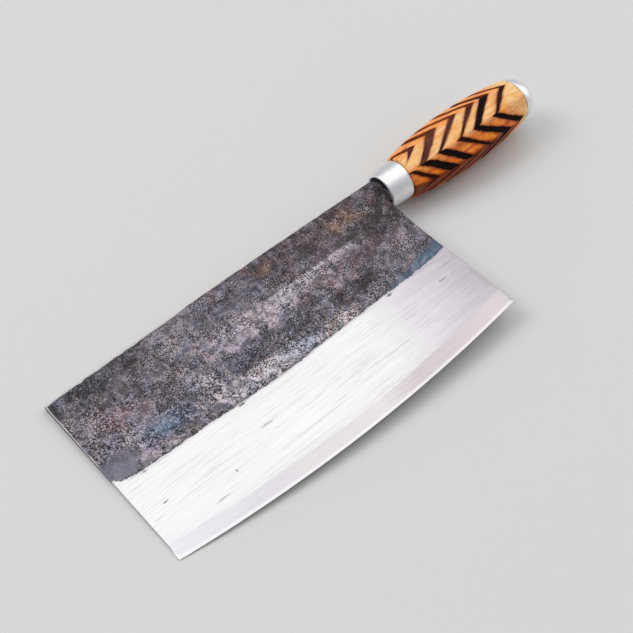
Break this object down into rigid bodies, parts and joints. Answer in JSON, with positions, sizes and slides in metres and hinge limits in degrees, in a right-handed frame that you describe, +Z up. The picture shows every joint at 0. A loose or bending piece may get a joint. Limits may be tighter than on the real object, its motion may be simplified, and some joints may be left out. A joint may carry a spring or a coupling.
{
  "type": "kitchen cleaver",
  "caption": "Tall rectangular forged cleaver blade with a ground bevel, its flat tang riveted through a faceted wooden grip with a metal ferrule and a domed end cap.",
  "frame": {"origin": "on the table, under the middle of the knife's bounding box, with the knife lying as it rests", "axes": "+X along the handle to the butt, +Y across the blade to the spine, +Z up, out of the blade's upper face"},
  "size_m": [0.2892, 0.108, 0.0306],
  "materials": {
    "forged_steel": "dark mottled forge scale above the grind line, satin ground steel below it",
    "dark_resin": "matt, almost black",
    "satin_aluminium": "satin, turned",
    "scorched_wood": "oiled tan wood with carved and scorched dark chevrons",
    "plain_steel": "plain, filed"
  },
  "bodies": {
    "root": {"blade": "forged_steel", "bedding_resin": "dark_resin", "ferrule": "satin_aluminium", "handle_grip": "scorched_wood", "end_cap": "satin_aluminium", "rivet_washer": "plain_steel"}
  },
  "joints": []
}
